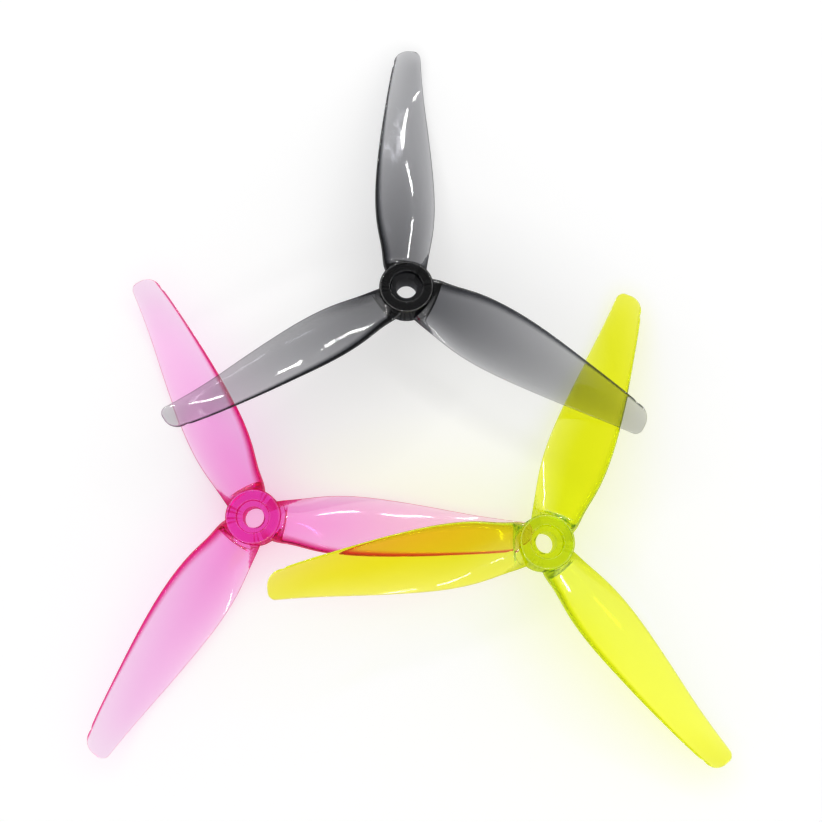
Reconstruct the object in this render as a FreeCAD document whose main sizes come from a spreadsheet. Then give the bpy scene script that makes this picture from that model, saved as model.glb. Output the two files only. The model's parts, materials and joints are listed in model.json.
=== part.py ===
import FreeCAD, Part
import math
import os
import Sketcher
from FreeCAD import Placement, Rotation, Vector

# A set of three loose propellers for a small racing drone, lying on each other.
# Each one is a single clear plastic moulding: a hub and three twisted blades.
# A propeller's own frame has its origin in the middle of the hub's seat face,
# with +Z along the shaft, towards the nut. Its first blade points along +X.

HUB = {
    "hub_radius": 6.5,
    "hub_height": 7.2,
    "hub_rim_bevel": 0.6,
    "seat_chamfer": 0.3,
    "bore_radius": 2.5,
    "nut_recess_radius": 3.8,
    "nut_recess_depth": 1.6,
    "recess_rim_bevel": 0.4,
}

BLADE = {
    "tip_radius": 64.8,
    "leading_share": 0.75,
    "trailing_thickness": 0.55,
    "camber_share": 0.02,
    "root_fillet": 1.4,
    "root_overlap": 2.6,
    "tip_front_round": 3.8,
    "tip_rear_round": 1.8,
}

# Each station is a share of the tip radius. The two edges are given as a
# designer draws them: in plan, ahead of and behind the blade's own radial line,
# and in elevation, the leading edge below the hub's top and the trailing edge
# above the seat face. Swell is what the section's middle adds to its thickness.
# The last station lies past the tip, where the blade is trimmed to its outline.
STATION_COLUMNS = ("share", "lead", "trail", "sink", "drop", "swell")
STATIONS = (
    (0.04, 3.90, 4.20, 1.60, 0.95, 2.30),
    (0.08, 4.95, 5.00, 1.25, 0.75, 2.15),
    (0.14, 5.30, 5.90, 0.80, 0.45, 1.95),
    (0.23, 6.00, 7.30, 0.35, 0.38, 1.70),
    (0.34, 6.25, 8.30, 0.25, 0.38, 1.38),
    (0.50, 5.25, 8.45, 0.45, 0.38, 1.02),
    (0.665, 3.50, 8.00, 1.75, 0.38, 0.75),
    (0.80, 1.80, 7.50, 2.80, 0.60, 0.55),
    (0.90, 0.40, 7.30, 3.40, 1.35, 0.40),
    (1.02, -1.70, 7.30, 4.00, 2.45, 0.25),
)

# Where each propeller lies in the set. Its hub stands off the first one's at a
# bearing, anticlockwise from east, so far past the first one's blade tips. Then
# come its turn about its own shaft, and how far its east and north sides are
# tipped up by what it lies on. Heights aren't given: each one comes down until
# it touches.
FIRST = "pink_propeller"
LAYOUT = {
    FIRST: {"turn": 351.9, "east_up": 0.0, "north_up": 0.0, "hand": 1},
    "yellow_propeller": {"bearing": -6.1, "past_tips": 3.3, "turn": 64.7,
                         "east_up": -6.3, "north_up": -1.4, "hand": 1},
    "smoke_propeller": {"bearing": 55.5, "past_tips": -0.2, "turn": 92.6,
                        "east_up": -0.8, "north_up": -5.3, "hand": -1},
}
LIE_GAP = 0.25
START_HEIGHT = 25.0
MOST_STEPS = 12
NEAR_ENOUGH = 0.005

BLADE_COUNT = 3
HALF_TURN = 180
ROOT_STEPS = 3
BLADE_STEPS = 4

# Each skin of a section is one cubic curve between the blunt leading edge and
# the blunt trailing edge. Its inner poles stand at these shares of the chord.
POLES_AT = (0.33, 0.65)
MIDDLE_WEIGHT = 3 / 8
END_WEIGHT = 1 / 8
FRONT_FULLNESS = 0.95


def fill_sheet(doc):
    """The driving dimensions, one cell and one alias each."""
    sheet = doc.addObject("Spreadsheet::Sheet", "Sizes")
    values = dict(HUB)
    values.update(BLADE)
    for number, station in enumerate(STATIONS, 1):
        for column, value in zip(STATION_COLUMNS, station):
            values["%s_%d" % (column, number)] = value
    for row, (alias, value) in enumerate(values.items(), 1):
        sheet.set("A%d" % row, alias)
        sheet.set("B%d" % row, str(value))
        sheet.setAlias("B%d" % row, alias)
    doc.recompute()
    return sheet


def origin_feature(body, role):
    return next(item for item in body.Origin.OriginFeatures if item.Role == role)


def smooth_curve(points, parameters):
    curve = Part.BSplineCurve()
    curve.interpolate(Points=points, Parameters=parameters)
    return curve


def even_steps(start, end, count):
    return [start + (end - start) * step / count for step in range(count + 1)]


class BladeForm:
    """Sections of one blade, square to its radial line, from the stations."""

    def __init__(self, sheet, hand):
        self.sheet = sheet
        self.hand = hand
        columns = {name: [getattr(sheet, "%s_%d" % (name, n + 1)) for n in range(len(STATIONS))]
                   for name in STATION_COLUMNS}
        self.radii = [share * sheet.tip_radius for share in columns["share"]]
        self.front = smooth_curve([Vector(-lead, sheet.hub_height - sink, 0) for lead, sink
                                   in zip(columns["lead"], columns["sink"])], self.radii)
        self.rear = smooth_curve([Vector(trail, drop, 0) for trail, drop
                                  in zip(columns["trail"], columns["drop"])], self.radii)
        self.depth = smooth_curve([Vector(swell, 0, 0) for swell in columns["swell"]], self.radii)

    def root_swell(self, from_axis):
        """How far the skin stands proud, to fillet the blade into the hub wall."""
        fillet = self.sheet.root_fillet
        out = min(max(from_axis - self.sheet.hub_radius, 0.0), fillet)
        return fillet * (1 - out / fillet) ** 2

    def skin_poles(self, radius, side):
        """The poles of one skin of the section, from the leading to the trailing edge."""
        front = self.front.value(radius)
        rear = self.rear.value(radius)
        chord = (rear - front).Length
        along = (rear - front) * (1 / chord)
        up = Vector(-along.y, along.x, 0)
        blunt = self.sheet.trailing_thickness / 2
        middle = (self.depth.value(radius).x + blunt) / 2
        nose = self.sheet.leading_share * middle
        first = FRONT_FULLNESS * middle
        second = (middle - END_WEIGHT * (nose + blunt)) / MIDDLE_WEIGHT - first
        camber = self.sheet.camber_share * chord / (2 * MIDDLE_WEIGHT)
        poles = [front + up * (side * nose),
                 front + along * (POLES_AT[0] * chord) + up * (camber + side * first),
                 front + along * (POLES_AT[1] * chord) + up * (camber + side * second),
                 rear + up * (side * blunt)]
        return self.swollen(poles, radius, side)

    def swollen(self, poles, radius, side):
        """The inner poles moved up or down by the root fillet, within the hub's height."""
        limit = self.sheet.hub_height - self.sheet.hub_rim_bevel if side > 0 else self.sheet.seat_chamfer
        moved = []
        for pole in poles[1:3]:
            swell = self.root_swell(math.hypot(radius, pole.x)) / (2 * MIDDLE_WEIGHT)
            room = max(side * (limit - pole.y), 0)
            moved.append(pole + Vector(0, side * min(swell, room), 0))
        return [poles[0]] + moved + [poles[3]]

    def section(self, radius):
        """The upper skin, the trailing edge, the lower skin and the leading edge."""
        skins = []
        for side in (1, -1):
            skin = Part.BezierCurve()
            skin.setPoles([Vector(self.hand * p.x, p.y, 0) for p in self.skin_poles(radius, side)])
            skins.append(skin.toBSpline())
        upper, lower = skins
        return [upper, Part.LineSegment(upper.EndPoint, lower.EndPoint), lower,
                Part.LineSegment(lower.StartPoint, upper.StartPoint)]

    def root_radii(self):
        """From well inside the hub to where the root fillet runs out."""
        hub = self.sheet.hub_radius
        return even_steps(hub - self.sheet.root_overlap, hub + self.sheet.root_fillet, ROOT_STEPS)

    def blade_radii(self):
        """From the end of the root fillet to just past the tip."""
        return even_steps(self.sheet.hub_radius + self.sheet.root_fillet, self.radii[-1], BLADE_STEPS)

    def tip_outline(self):
        """What is trimmed off past the tip, in plan, a little clear of the edges."""
        clear = 0.15
        spare = 6.0
        tip = self.sheet.tip_radius
        front_round = self.sheet.tip_front_round
        rear_round = self.sheet.tip_rear_round
        inner = self.front.value(tip - 2 * front_round)
        outer = self.front.value(tip)
        slope = math.atan2(outer.x - inner.x, 2 * front_round)
        start_y = outer.x - clear / math.cos(slope)
        front_x = tip - front_round
        front_y = start_y + (front_round / math.cos(slope)) - front_round * math.tan(slope)
        rear_x = tip - rear_round
        rear_y = self.rear.value(tip).x + clear - rear_round

        def on_front(angle):
            return Vector(front_x + front_round * math.cos(angle), front_y + front_round * math.sin(angle), 0)

        def on_rear(angle):
            return Vector(rear_x + rear_round * math.cos(angle), rear_y + rear_round * math.sin(angle), 0)

        low = slope - math.pi / 2
        start = on_front(low)
        end = on_rear(math.pi / 2)
        corners = [end, Vector(end.x, end.y + spare, 0), Vector(tip + spare, end.y + spare, 0),
                   Vector(tip + spare, start.y - spare, 0), Vector(start.x, start.y - spare, 0), start]
        edges = [Part.Arc(start, on_front(low / 2), on_front(0)),
                 Part.LineSegment(on_front(0), on_rear(0)),
                 Part.Arc(on_rear(0), on_rear(math.pi / 4), end)]
        edges += [Part.LineSegment(a, b) for a, b in zip(corners, corners[1:])]
        if self.hand < 0:
            for edge in edges:
                edge.mirror(Vector(0, 0, 0), Vector(0, 1, 0))
        return edges


def attached_sketch(body, name, plane):
    sketch = body.newObject("Sketcher::SketchObject", name)
    sketch.AttachmentSupport = [(origin_feature(body, plane), "")]
    sketch.MapMode = "FlatFace"
    return sketch


def circle_sketch(body, name, radius_alias):
    sketch = attached_sketch(body, name, "XY_Plane")
    sketch.AttachmentOffset = Placement(Vector(0, 0, 0), Rotation(Vector(0, 0, 1), HALF_TURN))
    sketch.addGeometry(Part.Circle(Vector(0, 0, 0), Vector(0, 0, 1), 1.0), False)
    sketch.addConstraint(Sketcher.Constraint("Coincident", 0, 3, -1, 1))
    size = sketch.addConstraint(Sketcher.Constraint("Radius", 0, 1.0))
    sketch.renameConstraint(size, "radius")
    sketch.setExpression("Constraints.radius", "Sizes." + radius_alias)
    return sketch


def round_edge_name(shape, radius, height):
    """The name of the circular edge at this radius and height round the shaft."""
    for number, edge in enumerate(shape.Edges, 1):
        curve = edge.Curve
        if curve.TypeId == "Part::GeomCircle" and abs(curve.Radius - radius) < 1e-4 \
                and abs(curve.Center.z - height) < 1e-4 and math.hypot(curve.Center.x, curve.Center.y) < 1e-4:
            return "Edge%d" % number
    raise RuntimeError("no round edge of radius %g at height %g" % (radius, height))


def add_hub(doc, body, sheet):
    name = body.Name
    hub = body.newObject("PartDesign::Pad", name + "_hub")
    hub.Profile = circle_sketch(body, name + "_hub_outline", "hub_radius")
    hub.setExpression("Length", "Sizes.hub_height")
    doc.recompute()
    rim = body.newObject("PartDesign::Chamfer", name + "_hub_rim")
    rim.Base = (hub, [round_edge_name(hub.Shape, sheet.hub_radius, sheet.hub_height)])
    rim.setExpression("Size", "Sizes.hub_rim_bevel")
    doc.recompute()
    seat = body.newObject("PartDesign::Chamfer", name + "_hub_seat")
    seat.Base = (rim, [round_edge_name(rim.Shape, sheet.hub_radius, 0)])
    seat.setExpression("Size", "Sizes.seat_chamfer")
    doc.recompute()


def add_loft(doc, body, name, form, radii):
    sections = []
    for number, radius in enumerate(radii, 1):
        sketch = attached_sketch(body, "%s_section_%d" % (name, number), "YZ_Plane")
        sketch.AttachmentOffset = Placement(Vector(0, 0, radius), Rotation())
        for curve in form.section(radius):
            sketch.addGeometry(curve, False)
        sections.append(sketch)
    loft = body.newObject("PartDesign::AdditiveLoft", name)
    loft.Profile = sections[0]
    loft.Sections = sections[1:]
    doc.recompute()
    return loft


def add_blades(doc, body, form):
    name = body.Name
    root = add_loft(doc, body, name + "_root", form, form.root_radii())
    blade = add_loft(doc, body, name + "_blade", form, form.blade_radii())

    tip_sketch = attached_sketch(body, name + "_tip_outline", "XY_Plane")
    for edge in form.tip_outline():
        tip_sketch.addGeometry(edge, False)
    tip = body.newObject("PartDesign::Pocket", name + "_tip")
    tip.Profile = tip_sketch
    tip.Type = "ThroughAll"
    tip.Midplane = True
    doc.recompute()

    blades = body.newObject("PartDesign::PolarPattern", name + "_blades")
    blades.Originals = [root, blade, tip]
    blades.Axis = (origin_feature(body, "Z_Axis"), [""])
    blades.Angle = 360
    blades.Occurrences = BLADE_COUNT
    body.Tip = blades
    doc.recompute()


def add_bore(doc, body, sheet):
    name = body.Name
    bore = body.newObject("PartDesign::Pocket", name + "_bore")
    bore.Profile = circle_sketch(body, name + "_bore_outline", "bore_radius")
    bore.Type = "ThroughAll"
    bore.Midplane = True
    doc.recompute()
    recess_sketch = circle_sketch(body, name + "_recess_outline", "nut_recess_radius")
    recess_sketch.setExpression("AttachmentOffset.Base.z", "Sizes.hub_height")
    recess = body.newObject("PartDesign::Pocket", name + "_recess")
    recess.Profile = recess_sketch
    recess.setExpression("Length", "Sizes.nut_recess_depth")
    doc.recompute()
    rim = body.newObject("PartDesign::Chamfer", name + "_recess_rim")
    rim.Base = (recess, [round_edge_name(recess.Shape, sheet.nut_recess_radius, sheet.hub_height)])
    rim.setExpression("Size", "Sizes.recess_rim_bevel")
    doc.recompute()
    body.Tip = rim


def make_propeller(doc, sheet, name, hand):
    body = doc.addObject("PartDesign::Body", name)
    body.Label = name
    add_hub(doc, body, sheet)
    add_blades(doc, body, BladeForm(sheet, hand))
    add_bore(doc, body, sheet)
    return body


def stand_off(sheet, place):
    """Where a propeller's hub is in plan, from the first one's."""
    if "bearing" not in place:
        return Vector(0, 0, 0)
    distance = sheet.tip_radius + place["past_tips"]
    bearing = math.radians(place["bearing"])
    return Vector(distance * math.cos(bearing), distance * math.sin(bearing), 0)


def lying(sheet, place, height):
    """A propeller's placement, tipped by what it lies on, with its seat at a height."""
    east_tip = Rotation(Vector(0, 1, 0), -place["east_up"])
    north_tip = Rotation(Vector(1, 0, 0), place["north_up"])
    turned = east_tip.multiply(north_tip).multiply(Rotation(Vector(0, 0, 1), place["turn"]))
    return Placement(stand_off(sheet, place) + Vector(0, 0, height), turned)


def settle(sheet, body, place, below):
    """Brings a propeller down until it just clears the floor and what it lies on."""
    height = START_HEIGHT
    shape = body.Shape.copy()
    for attempt in range(MOST_STEPS):
        shape.Placement = lying(sheet, place, height)
        to_floor = shape.optimalBoundingBox(False).ZMin
        to_others = [shape.distToShape(other)[0] - LIE_GAP for other in below]
        drop = min([to_floor] + to_others)
        if drop < NEAR_ENOUGH:
            break
        height -= drop
    body.Placement = lying(sheet, place, height)
    return body.Shape


def check(doc, bodies):
    for item in doc.Objects:
        if "Invalid" in item.State or "Error" in item.State:
            raise RuntimeError("%s failed: %s" % (item.Name, item.State))
    for body in bodies:
        if body.Shape.isNull() or not body.Shape.isValid() or len(body.Shape.Solids) != 1:
            raise RuntimeError("%s isn't one sound solid" % body.Label)


doc = FreeCAD.newDocument("propellers")
sheet = fill_sheet(doc)
bodies = [make_propeller(doc, sheet, name, place["hand"]) for name, place in LAYOUT.items()]
doc.recompute()
check(doc, bodies)

below = []
for body in bodies:
    below.append(settle(sheet, body, LAYOUT[body.Label], below))
corner_box = Part.makeCompound(below).optimalBoundingBox(False)
middle = Vector(corner_box.Center.x, corner_box.Center.y, 0)
os.makedirs("parts", exist_ok=True)
for body in bodies:
    body.Placement.Base = body.Placement.Base - middle
    body.Shape.exportStep("parts/%s.step" % body.Label)
    place = body.Placement
    print(body.Label, "seat at", [round(v, 3) for v in place.Base], "volume", round(body.Shape.Volume, 1))
print("size", [round(v, 2) for v in (corner_box.XLength, corner_box.YLength, corner_box.ZLength)])
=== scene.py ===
import bpy
import bmesh
import json
import math
from mathutils import Matrix, Vector


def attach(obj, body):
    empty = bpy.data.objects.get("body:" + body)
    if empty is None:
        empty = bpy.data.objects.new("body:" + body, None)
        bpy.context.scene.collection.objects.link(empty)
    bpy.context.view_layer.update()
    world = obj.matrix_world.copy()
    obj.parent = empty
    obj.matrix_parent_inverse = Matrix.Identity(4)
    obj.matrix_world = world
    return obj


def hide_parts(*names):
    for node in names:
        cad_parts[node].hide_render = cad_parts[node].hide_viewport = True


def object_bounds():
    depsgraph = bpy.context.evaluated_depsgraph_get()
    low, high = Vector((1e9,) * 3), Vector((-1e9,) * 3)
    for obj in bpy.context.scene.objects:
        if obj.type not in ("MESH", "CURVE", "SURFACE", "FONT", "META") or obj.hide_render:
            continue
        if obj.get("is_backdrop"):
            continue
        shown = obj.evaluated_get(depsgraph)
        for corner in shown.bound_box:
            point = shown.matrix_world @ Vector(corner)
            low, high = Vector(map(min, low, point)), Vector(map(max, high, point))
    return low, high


MM = 0.001

# Sizes of one propeller, in millimetres, as the solids have them. The visual
# model rounds what the solids only bevel.
HUB_RADIUS = 6.5
HUB_HEIGHT = 7.2
HUB_RIM_ROUND = 0.8
SEAT_CHAMFER = 0.3
BORE_RADIUS = 2.5
RECESS_RADIUS = 3.8
RECESS_DEPTH = 1.6
RECESS_RIM_ROUND = 0.45
RECESS_FLOOR_ROUND = 0.15
BORE_RIM_ROUND = 0.12
TIP_RADIUS = 64.8
LEADING_SHARE = 0.75
TRAILING_THICKNESS = 0.55
CAMBER_SHARE = 0.02
ROOT_FILLET = 1.4
TIP_FRONT_ROUND = 3.8
TIP_REAR_ROUND = 1.8

# Share of the tip radius; the leading edge ahead of the radial line and the
# trailing edge behind it; how far the leading edge lies below the hub's top and
# the trailing edge above the seat; what the middle adds to the thickness.
STATIONS = (
    (0.04, 3.90, 4.20, 1.60, 0.95, 2.30),
    (0.08, 4.95, 5.00, 1.25, 0.75, 2.15),
    (0.14, 5.30, 5.90, 0.80, 0.45, 1.95),
    (0.23, 6.00, 7.30, 0.35, 0.38, 1.70),
    (0.34, 6.25, 8.30, 0.25, 0.38, 1.38),
    (0.50, 5.25, 8.45, 0.45, 0.38, 1.02),
    (0.665, 3.50, 8.00, 1.75, 0.38, 0.75),
    (0.80, 1.80, 7.50, 2.80, 0.60, 0.55),
    (0.90, 0.40, 7.30, 3.40, 1.35, 0.40),
    (1.02, -1.70, 7.30, 4.00, 2.45, 0.25),
)
POLES_AT = (0.33, 0.65)
MIDDLE_WEIGHT = 3 / 8
END_WEIGHT = 1 / 8
FRONT_FULLNESS = 0.95

TURNS = {"pink": 351.9, "yellow": 64.7, "smoke": 92.6}
HANDS = {"pink": 1, "yellow": 1, "smoke": -1}
BLADE_ANGLES = (0, 120, 240)

# How far in from the leading edge its rounding and its painted shade reach, at
# the hub and at the tip; the painted shade is a deeper tint that stands in for light lost in the thick nose.
NOSE_AT_HUB = 1.9
NOSE_AT_TIP = 0.7
PAINTED_SHADE_AT_HUB = 2.6
PAINTED_SHADE_AT_TIP = 0.7
TAPER_END = 0.8 * TIP_RADIUS

# How finely the mesh is divided.
SECTION_STEPS = 36
HUB_SEGMENTS = 144
HUB_WALL_STEPS = 14
BORE_WALL_STEPS = 8
ROOT_START = 0.62 * HUB_RADIUS
ROOT_RINGS = 22
ROOT_SPACING = 0.2
BLADE_SPACING = 0.9
TIP_RINGS = 14
SHARP_ANGLE = 38

# What each plastic takes out of red, green and blue light in a millimetre, and
# the deeper tint painted along its leading edges as shade, for light lost in the thick nose.
PLASTICS = {
    "pink": ((0.015, 0.36, 0.08), (0.78, 0.04, 0.30)),
    "yellow": ((0.06, 0.035, 4.0), (0.80, 0.84, 0.02)),
    "smoke": ((0.80, 0.795, 0.76), (0.10, 0.105, 0.12)),
}

# Light: the table's share of its own, the room round and over it, and two arcs
# of strip lamps, each with its side, azimuth, elevation and power in watts.
TABLE_GLOW = 0.33
WALL_LIGHT = 1.5
CEILING_LIGHT = 0.2
LAMP_ARCS = (("far", 90, 27, 2.0), ("near", -90, 24, 1.2))
LAMPS_IN_ARC = 13
LAMP_SPACING = 10.0
LAMP_DISTANCE = 0.9
LAMP_LENGTH = 0.09
LAMP_HEIGHT = 0.014

# The camera, in millimetres from the middle of the pink propeller's seat.
CAMERA_OFFSET = (37.36, -30.25, 312.92)
CAMERA_ELEVATION = 79.85
CAMERA_ROLL = 0.78
CAMERA_LENS = 57.42


def natural_spline(knots, values):
    """A smooth curve through the values, as a function."""
    n = len(knots)
    gaps = [b - a for a, b in zip(knots, knots[1:])]
    curvature = [0.0] * n
    upper = [0.0] * n
    right = [0.0] * n
    for i in range(1, n - 1):
        slope = (values[i + 1] - values[i]) / gaps[i] - (values[i] - values[i - 1]) / gaps[i - 1]
        pivot = 2 * (gaps[i - 1] + gaps[i]) - gaps[i - 1] * upper[i - 1]
        upper[i] = gaps[i] / pivot
        right[i] = (6 * slope - gaps[i - 1] * right[i - 1]) / pivot
    for i in range(n - 2, 0, -1):
        curvature[i] = right[i] - upper[i] * curvature[i + 1]

    def curve(x):
        i = 0
        while i < n - 2 and x > knots[i + 1]:
            i += 1
        gap = gaps[i]
        a = (knots[i + 1] - x) / gap
        b = (x - knots[i]) / gap
        bend = (a ** 3 - a) * curvature[i] + (b ** 3 - b) * curvature[i + 1]
        return a * values[i] + b * values[i + 1] + bend * gap * gap / 6
    return curve


columns = list(zip(*STATIONS))
radii = [share * TIP_RADIUS for share in columns[0]]
lead, trail, sink, drop, depth = (natural_spline(radii, column) for column in columns[1:])


def root_swell(from_axis):
    out = min(max(from_axis - HUB_RADIUS, 0.0), ROOT_FILLET)
    return ROOT_FILLET * (1 - out / ROOT_FILLET) ** 2


def tip_limits(radius):
    """How far ahead and behind the rounded tip lets a section reach, across the blade."""
    front = -lead(radius)
    rear = trail(radius)
    reach = 2 * TIP_FRONT_ROUND
    slope = math.atan2(lead(TIP_RADIUS - reach) - lead(TIP_RADIUS), reach)
    centre = -lead(TIP_RADIUS) + TIP_FRONT_ROUND / math.cos(slope) - TIP_FRONT_ROUND * math.tan(slope)
    out = radius - (TIP_RADIUS - TIP_FRONT_ROUND)
    if out > -TIP_FRONT_ROUND * math.sin(slope):
        front = max(front, centre - math.sqrt(max(TIP_FRONT_ROUND ** 2 - out ** 2, 0.0)))
    out = radius - (TIP_RADIUS - TIP_REAR_ROUND)
    if out > 0:
        centre = trail(TIP_RADIUS) - TIP_REAR_ROUND
        rear = min(rear, centre + math.sqrt(max(TIP_REAR_ROUND ** 2 - out ** 2, 0.0)))
    return front, rear


def skin_poles(radius, side):
    """The four poles of one skin of the section, as in the solids."""
    front = Vector((-lead(radius), HUB_HEIGHT - sink(radius)))
    rear = Vector((trail(radius), drop(radius)))
    chord = (rear - front).length
    along = (rear - front) / chord
    up = Vector((-along.y, along.x))
    blunt = TRAILING_THICKNESS / 2
    middle = (depth(radius) + blunt) / 2
    nose = LEADING_SHARE * middle
    first = FRONT_FULLNESS * middle
    second = (middle - END_WEIGHT * (nose + blunt)) / MIDDLE_WEIGHT - first
    camber = CAMBER_SHARE * chord / (2 * MIDDLE_WEIGHT)
    poles = [front + up * (side * nose),
             front + along * (POLES_AT[0] * chord) + up * (camber + side * first),
             front + along * (POLES_AT[1] * chord) + up * (camber + side * second),
             rear + up * (side * blunt)]
    limit = HUB_HEIGHT - HUB_RIM_ROUND if side > 0 else SEAT_CHAMFER
    for pole in poles[1:3]:
        swell = root_swell(math.hypot(radius, pole.x)) / (2 * MIDDLE_WEIGHT)
        pole.y += side * min(swell, max(side * (limit - pole.y), 0.0))
    return poles


def on_skin(poles, t):
    u = 1 - t
    return poles[0] * u ** 3 + poles[1] * (3 * u * u * t) + poles[2] * (3 * u * t * t) + poles[3] * t ** 3


def tapered(at_hub, at_tip, radius):
    """A width that narrows evenly along the blade."""
    return at_hub + (at_tip - at_hub) * min(radius / TAPER_END, 1.0)


def section(radius):
    """A closed ring of points round the blade at one radius, its two ends rounded."""
    above, below = skin_poles(radius, 1), skin_poles(radius, -1)
    front, rear = (above[0] + below[0]) / 2, (above[3] + below[3]) / 2
    first, last = tip_limits(radius)
    start = min(max((first - front.x) / (rear.x - front.x), 0.0), 0.98)
    end = min(max((last - front.x) / (rear.x - front.x), start + 0.01), 1.0)
    chord = (rear - front).length
    nose = tapered(NOSE_AT_HUB, NOSE_AT_TIP, radius)
    thin = 1.0
    edge = TRAILING_THICKNESS / 2
    if radius > TIP_RADIUS - edge:
        thin = math.sqrt(max(1 - ((radius - TIP_RADIUS + edge) / edge) ** 2, 0.0))
    upper, lower = [], []
    for step in range(SECTION_STEPS + 1):
        part = (1 - math.cos(math.pi * step / SECTION_STEPS)) / 2
        t = start + (end - start) * part
        high, low = on_skin(above, t), on_skin(below, t)
        middle = (high + low) / 2
        full = thin
        for share_in, bound, least in ((part, start, nose), (1 - part, end, 0.0)):
            inward = share_in * (end - start) * chord
            reach = max((on_skin(above, bound) - on_skin(below, bound)).length / 2, least)
            reach = min(reach, (end - start) * chord / 2)
            if inward < reach:
                full = min(full, math.sqrt(max(1 - (1 - inward / reach) ** 2, 0.0)))
        upper.append(middle + (high - middle) * full)
        lower.append(middle + (low - middle) * full)
    return upper + lower[-2:0:-1]


def blade_radii():
    """Close together in the root fillet and at the tip."""
    inner = [ROOT_START + ROOT_SPACING * k for k in range(ROOT_RINGS)]
    outer = []
    radius = inner[-1] + 2 * ROOT_SPACING
    while radius < TIP_RADIUS - TIP_FRONT_ROUND:
        outer.append(radius)
        radius += BLADE_SPACING
    tip = [TIP_RADIUS - TIP_FRONT_ROUND * (1 - math.sin(math.pi / 2 * k / TIP_RINGS)) for k in range(TIP_RINGS + 1)]
    return inner + outer + tip[:-1] + [TIP_RADIUS - 0.002]


def blade_mesh(hand):
    """Rings of sections along one blade, closed at the root and at the tip."""
    rings = []
    vertices = []
    faces = []
    for radius in blade_radii():
        ring = [(radius, hand * p.x, p.y) for p in section(radius)]
        rings.append(range(len(vertices), len(vertices) + len(ring)))
        vertices += ring
    count = len(rings[0])
    for a, b in zip(rings, rings[1:]):
        for i in range(count):
            j = (i + 1) % count
            faces.append((a[i], a[j], b[j], b[i]))
    half = SECTION_STEPS
    for ring, flip in ((rings[0], False), (rings[-1], True)):
        upper = [ring[i] for i in range(half + 1)]
        lower = [ring[(count - i) % count] for i in range(half + 1)]
        for i in range(half):
            quad = [upper[i], upper[i + 1], lower[i + 1], lower[i]]
            quad = list(dict.fromkeys(quad))
            faces.append(tuple(quad[::-1] if flip else quad))
    return vertices, faces


def hub_profile():
    """Radius and height round the hub's section, from the bore's foot round the outside."""
    def arc(cx, cy, radius, start, end, steps):
        angles = [math.radians(start + (end - start) * k / steps) for k in range(steps + 1)]
        return [(cx + radius * math.cos(angle), cy + radius * math.sin(angle)) for angle in angles]
    floor = HUB_HEIGHT - RECESS_DEPTH
    wall = HUB_HEIGHT - HUB_RIM_ROUND - SEAT_CHAMFER
    rows = [(BORE_RADIUS + BORE_RIM_ROUND, 0.0), (HUB_RADIUS - SEAT_CHAMFER, 0.0), (HUB_RADIUS, SEAT_CHAMFER)]
    rows += [(HUB_RADIUS, SEAT_CHAMFER + wall * k / HUB_WALL_STEPS) for k in range(1, HUB_WALL_STEPS)]
    rows += arc(HUB_RADIUS - HUB_RIM_ROUND, HUB_HEIGHT - HUB_RIM_ROUND, HUB_RIM_ROUND, 0, 90, 8)
    rows += arc(RECESS_RADIUS + RECESS_RIM_ROUND, HUB_HEIGHT - RECESS_RIM_ROUND, RECESS_RIM_ROUND, 90, 180, 6)
    rows += arc(RECESS_RADIUS - RECESS_FLOOR_ROUND, floor + RECESS_FLOOR_ROUND, RECESS_FLOOR_ROUND, 0, -90, 3)
    rows += arc(BORE_RADIUS + BORE_RIM_ROUND, floor - BORE_RIM_ROUND, BORE_RIM_ROUND, 90, 180, 3)
    rows += [(BORE_RADIUS, floor * k / BORE_WALL_STEPS) for k in range(BORE_WALL_STEPS - 1, 0, -1)]
    rows += [(BORE_RADIUS, BORE_RIM_ROUND)]
    return rows


def hub_mesh():
    """The hub's section turned round its axis."""
    rows = hub_profile()
    vertices = []
    faces = []
    for k in range(HUB_SEGMENTS):
        angle = 2 * math.pi * (k + 0.5) / HUB_SEGMENTS
        vertices += [(r * math.cos(angle), r * math.sin(angle), z) for r, z in rows]
    count = len(rows)
    for k in range(HUB_SEGMENTS):
        a = k * count
        b = (k + 1) % HUB_SEGMENTS * count
        for i in range(count):
            j = (i + 1) % count
            faces.append((a + i, b + i, b + j, a + j))
    return vertices, faces


def make_object(name, vertices, faces):
    """An object of a clean closed mesh, its faces all outwards."""
    mesh = bpy.data.meshes.new(name)
    mesh.from_pydata(vertices, [], faces)
    mesh.validate()
    tidy = bmesh.new()
    tidy.from_mesh(mesh)
    bmesh.ops.remove_doubles(tidy, verts=tidy.verts, dist=1e-5)
    bmesh.ops.recalc_face_normals(tidy, faces=tidy.faces)
    tidy.to_mesh(mesh)
    tidy.free()
    piece = bpy.data.objects.new(name, mesh)
    bpy.context.scene.collection.objects.link(piece)
    return piece


def seat_placement(colour):
    """Where a propeller lies: its bore's line gives the middle of its seat and its tilt."""
    bore = next(m for m in frame["record"]["mounts"] if m["name"] == colour + "_bore")
    axis = Vector(bore["axis"]).normalized()
    seat = Vector(bore["pos_m"]) - axis * (bore["dims"]["length_mm"] / 2 * MM)
    north_up = -math.asin(axis.y)
    east_down = math.atan2(axis.x, axis.z)
    tilt = Matrix.Rotation(east_down, 4, "Y") @ Matrix.Rotation(north_up, 4, "X")
    return Matrix.Translation(seat) @ tilt @ Matrix.Rotation(math.radians(TURNS[colour]), 4, "Z")


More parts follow.
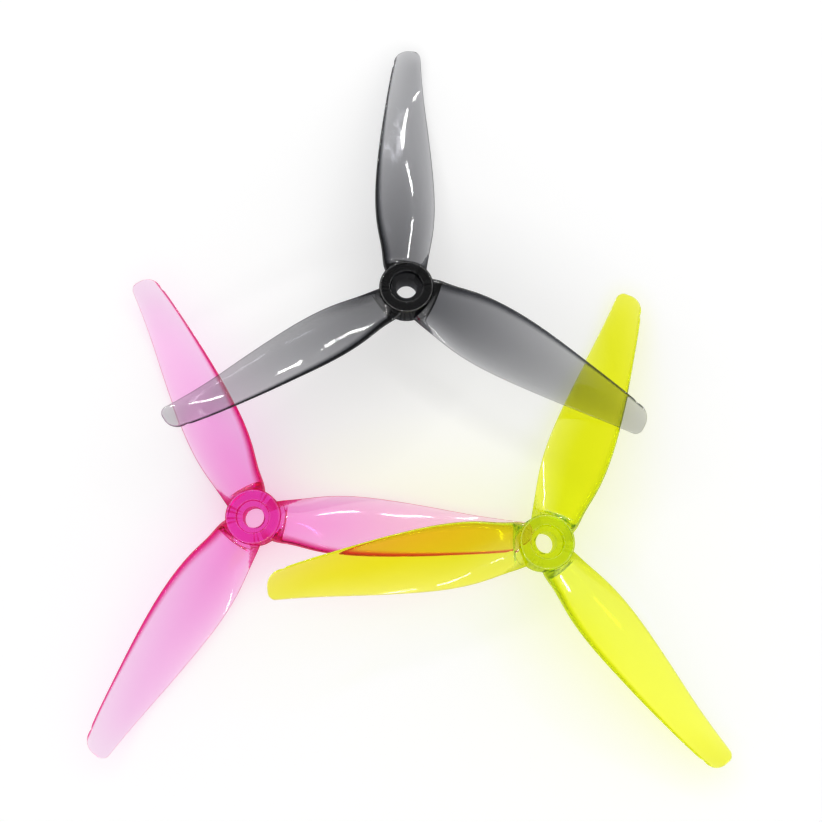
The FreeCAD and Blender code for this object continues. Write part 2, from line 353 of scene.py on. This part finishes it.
def mark_painted_edge_shade(mesh, hand):
    """Notes on the mesh how near each point is to a leading edge, 1 at the edge itself: the mask of the painted
    shade along the leading edges.
    """
    nearness = mesh.attributes.new("edge", "FLOAT", "POINT")
    for vertex in mesh.vertices:
        x, y = vertex.co.x, vertex.co.y
        best = 0.0
        if math.hypot(x, y) > HUB_RADIUS - 0.3:
            for angle in BLADE_ANGLES:
                a = math.radians(-angle)
                out = x * math.cos(a) - y * math.sin(a)
                across = hand * (x * math.sin(a) + y * math.cos(a))
                if out > 0 and abs(across) < 12:
                    radius = min(out, TIP_RADIUS)
                    width = tapered(PAINTED_SHADE_AT_HUB, PAINTED_SHADE_AT_TIP, radius)
                    behind = across + lead(radius)
                    best = max(best, 1 - max(behind, 0.0) / width)
        nearness.data[vertex.index].value = best


def propeller(colour):
    """Hub and blades joined into one closed skin, in place."""
    piece = make_object(colour + "_moulding", *hub_mesh())
    blade = blade_mesh(HANDS[colour])
    for angle in BLADE_ANGLES:
        turned = Matrix.Rotation(math.radians(angle), 4, "Z")
        points = [turned @ Vector(p) for p in blade[0]]
        tool = make_object(colour + "_blade_tool", points, blade[1])
        union = piece.modifiers.new("join", "BOOLEAN")
        union.operation = "UNION"
        union.solver = "EXACT"
        union.object = tool
        graph = bpy.context.evaluated_depsgraph_get()
        joined = bpy.data.meshes.new_from_object(piece.evaluated_get(graph))
        piece.modifiers.clear()
        piece.data = joined
        bpy.data.objects.remove(tool)
    mark_painted_edge_shade(piece.data, HANDS[colour])
    piece.data.transform(seat_placement(colour) @ Matrix.Scale(MM, 4))
    for face in piece.data.polygons:
        face.use_smooth = True
    piece.data.set_sharp_from_angle(angle=math.radians(SHARP_ANGLE))
    return piece


def clear_plastic(name, absorbed_per_mm, painted_edge_shade):
    """Clear plastic coloured all through: the thicker it is, the deeper the colour.

    Its skin has the faint waves and the slightly uneven gloss of an injection
    moulding. Light that goes on to other surfaces passes straight through.
    """
    material = bpy.data.materials.new(name)
    material.use_nodes = True
    nodes = material.node_tree.nodes
    links = material.node_tree.links
    nodes.clear()
    output = nodes.new("ShaderNodeOutputMaterial")
    shell = nodes.new("ShaderNodeBsdfPrincipled")
    shell.inputs["Transmission Weight"].default_value = 1.0
    shell.inputs["IOR"].default_value = 1.58
    shell.inputs["Specular IOR Level"].default_value = 0.3

    # Painted shade: the base colour deepens towards the leading edges, standing in for light lost in the thick
    # rounded nose.
    nearness = nodes.new("ShaderNodeAttribute")
    nearness.attribute_name = "edge"
    depth = nodes.new("ShaderNodeMapRange")
    depth.interpolation_type = "SMOOTHSTEP"
    depth.inputs["From Max"].default_value = 0.7
    deepen = nodes.new("ShaderNodeMix")
    deepen.data_type = "RGBA"
    deepen.inputs["A"].default_value = (1, 1, 1, 1)
    deepen.inputs["B"].default_value = (*painted_edge_shade, 1)
    links.new(nearness.outputs["Fac"], depth.inputs["Value"])
    links.new(depth.outputs["Result"], deepen.inputs["Factor"])
    links.new(deepen.outputs["Result"], shell.inputs["Base Color"])

    place = nodes.new("ShaderNodeTexCoord")
    waves = nodes.new("ShaderNodeTexNoise")
    waves.inputs["Scale"].default_value = 260.0
    waves.inputs["Detail"].default_value = 3.0
    ripple = nodes.new("ShaderNodeBump")
    ripple.inputs["Strength"].default_value = 0.35
    ripple.inputs["Distance"].default_value = 0.00005
    links.new(place.outputs["Object"], waves.inputs["Vector"])
    links.new(waves.outputs["Fac"], ripple.inputs["Height"])
    links.new(ripple.outputs["Normal"], shell.inputs["Normal"])

    handling = nodes.new("ShaderNodeTexNoise")
    handling.inputs["Scale"].default_value = 900.0
    handling.inputs["Detail"].default_value = 5.0
    gloss = nodes.new("ShaderNodeMapRange")
    gloss.inputs["From Min"].default_value = 0.35
    gloss.inputs["From Max"].default_value = 0.75
    gloss.inputs["To Min"].default_value = 0.02
    gloss.inputs["To Max"].default_value = 0.09
    links.new(place.outputs["Object"], handling.inputs["Vector"])
    links.new(handling.outputs["Fac"], gloss.inputs["Value"])
    links.new(gloss.outputs["Result"], shell.inputs["Roughness"])

    # Painted shade: where the skin turns edge-on it shows the plastic's deepest colour, standing in for a ray
    # caught inside a rounded edge.
    facing = nodes.new("ShaderNodeLayerWeight")
    grazing = nodes.new("ShaderNodeMapRange")
    grazing.interpolation_type = "SMOOTHSTEP"
    grazing.inputs["From Min"].default_value = 0.25
    grazing.inputs["From Max"].default_value = 0.6
    grazing.inputs["To Max"].default_value = 0.85
    painted_edge_on_shade = nodes.new("ShaderNodeBsdfTransparent")
    painted_edge_on_shade.inputs["Color"].default_value = (*painted_edge_shade, 1)
    skin = nodes.new("ShaderNodeMixShader")
    links.new(facing.outputs["Facing"], grazing.inputs["Value"])
    links.new(grazing.outputs["Result"], skin.inputs["Fac"])
    links.new(shell.outputs[0], skin.inputs[1])
    links.new(painted_edge_on_shade.outputs[0], skin.inputs[2])

    passing = nodes.new("ShaderNodeBsdfTransparent")
    ray = nodes.new("ShaderNodeLightPath")
    straight = nodes.new("ShaderNodeMath")
    straight.operation = "MAXIMUM"
    mix = nodes.new("ShaderNodeMixShader")
    links.new(ray.outputs["Is Shadow Ray"], straight.inputs[0])
    links.new(ray.outputs["Is Diffuse Ray"], straight.inputs[1])
    links.new(straight.outputs[0], mix.inputs["Fac"])
    links.new(skin.outputs[0], mix.inputs[1])
    links.new(passing.outputs[0], mix.inputs[2])
    links.new(mix.outputs[0], output.inputs["Surface"])

    deepest = max(absorbed_per_mm)
    inside = nodes.new("ShaderNodeVolumeAbsorption")
    inside.inputs["Color"].default_value = (*[1 - a / deepest for a in absorbed_per_mm], 1)
    inside.inputs["Density"].default_value = deepest / MM
    links.new(inside.outputs[0], output.inputs["Volume"])
    return material


def any_of(nodes, links, ray, names):
    """1 where the ray is of one of the named kinds, as the camera or clear plastic sees it."""
    total = ray.outputs[names[0]]
    for name in names[1:]:
        joined = nodes.new("ShaderNodeMath")
        joined.operation = "MAXIMUM"
        links.new(total, joined.inputs[0])
        links.new(ray.outputs[name], joined.inputs[1])
        total = joined.outputs[0]
    return total


SEEING_RAYS = ("Is Camera Ray", "Is Glossy Ray", "Is Transmission Ray")


def stage():
    """A plain pale table top that shows white, and keeps the propellers' soft shadows."""
    low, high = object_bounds()
    middle = (Vector(low) + Vector(high)) / 2
    bpy.ops.mesh.primitive_plane_add(size=3.0, location=(middle.x, middle.y, low[2] - 0.0001))
    floor = bpy.context.object
    floor.name = "table_top"
    floor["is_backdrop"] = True
    material = bpy.data.materials.new("table_white")
    material.use_nodes = True
    nodes = material.node_tree.nodes
    links = material.node_tree.links
    shell = nodes["Principled BSDF"]
    shell.inputs["Base Color"].default_value = (0.8, 0.8, 0.8, 1)
    shell.inputs["Roughness"].default_value = 1.0
    shell.inputs["Specular IOR Level"].default_value = 0.0
    ray = nodes.new("ShaderNodeLightPath")
    scaled = nodes.new("ShaderNodeMath")
    scaled.operation = "MULTIPLY"
    scaled.inputs[1].default_value = TABLE_GLOW
    links.new(any_of(nodes, links, ray, SEEING_RAYS), scaled.inputs[0])
    shell.inputs["Emission Color"].default_value = (1, 1, 1, 1)
    links.new(scaled.outputs[0], shell.inputs["Emission Strength"])
    floor.data.materials.append(material)
    return middle


def lamp(name, middle, azimuth, elevation, power):
    """One strip lamp that lies level and faces the middle of the set."""
    light = bpy.data.lights.new(name, "AREA")
    light.shape = "RECTANGLE"
    light.size = LAMP_LENGTH
    light.size_y = LAMP_HEIGHT
    light.energy = power
    item = bpy.data.objects.new(name, light)
    a, e = math.radians(azimuth), math.radians(elevation)
    away = Vector((math.cos(a) * math.cos(e), math.sin(a) * math.cos(e), math.sin(e)))
    item.location = middle + away * LAMP_DISTANCE
    item.rotation_euler = away.to_track_quat("Z", "Y").to_euler()
    bpy.context.scene.collection.objects.link(item)


def lights(middle):
    """A white room, darker overhead, and an arc of strip lamps on the far side and on the near."""
    world = bpy.data.worlds.new("room")
    world.use_nodes = True
    nodes = world.node_tree.nodes
    links = world.node_tree.links
    background = nodes["Background"]
    background.inputs["Color"].default_value = (1, 1, 1, 1)
    place = nodes.new("ShaderNodeTexCoord")
    split = nodes.new("ShaderNodeSeparateXYZ")
    dome = nodes.new("ShaderNodeMapRange")
    dome.inputs["From Min"].default_value = 0.45
    dome.inputs["From Max"].default_value = 0.75
    dome.inputs["To Min"].default_value = WALL_LIGHT
    dome.inputs["To Max"].default_value = CEILING_LIGHT
    links.new(place.outputs["Generated"], split.inputs[0])
    links.new(split.outputs["Z"], dome.inputs["Value"])
    ray = nodes.new("ShaderNodeLightPath")
    level = nodes.new("ShaderNodeMapRange")
    level.inputs["To Max"].default_value = 1.0
    links.new(ray.outputs["Is Camera Ray"], level.inputs["Value"])
    links.new(dome.outputs["Result"], level.inputs["To Min"])
    links.new(level.outputs["Result"], background.inputs["Strength"])
    bpy.context.scene.world = world
    for side, azimuth, elevation, power in LAMP_ARCS:
        for k in range(LAMPS_IN_ARC):
            turn = (k - (LAMPS_IN_ARC - 1) / 2) * LAMP_SPACING
            lamp("%s_%d" % (side, k + 1), middle, azimuth + turn, elevation, power / LAMPS_IN_ARC)


def camera():
    """At the photograph's place and angle, fitted to the outlines of the blades."""
    seat = seat_placement("pink").translation
    data = bpy.data.cameras.new("camera")
    data.lens = CAMERA_LENS
    data.sensor_width = 36.0
    data.clip_start = 0.01
    item = bpy.data.objects.new("camera", data)
    elevation = math.radians(CAMERA_ELEVATION)
    roll = math.radians(CAMERA_ROLL)
    look = Vector((0, math.cos(elevation), -math.sin(elevation)))
    right = Vector((1, 0, 0))
    up = right.cross(look)
    turned_right = right * math.cos(roll) - up * math.sin(roll)
    turned_up = right * math.sin(roll) + up * math.cos(roll)
    item.matrix_world = Matrix((turned_right, turned_up, -look)).transposed().to_4x4()
    item.location = seat + Vector(CAMERA_OFFSET) * MM
    bpy.context.scene.collection.objects.link(item)
    bpy.context.scene.camera = item


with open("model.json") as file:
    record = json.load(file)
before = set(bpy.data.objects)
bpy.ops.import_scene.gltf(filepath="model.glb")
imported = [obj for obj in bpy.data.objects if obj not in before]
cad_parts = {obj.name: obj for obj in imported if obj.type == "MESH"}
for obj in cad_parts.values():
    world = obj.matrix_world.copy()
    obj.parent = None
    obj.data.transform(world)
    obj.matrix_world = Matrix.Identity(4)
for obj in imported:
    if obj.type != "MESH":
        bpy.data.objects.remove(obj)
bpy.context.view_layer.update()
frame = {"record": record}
bpy.context.scene.view_settings.view_transform = "Standard"
middle = stage()

for colour, (absorbed, painted_edge_shade) in PLASTICS.items():
    piece = propeller(colour)
    piece.data.materials.clear()
    piece.data.materials.append(clear_plastic(colour + "_plastic", absorbed, painted_edge_shade))
    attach(piece, colour)
    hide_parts(colour + "_propeller")
lights(middle)
camera()
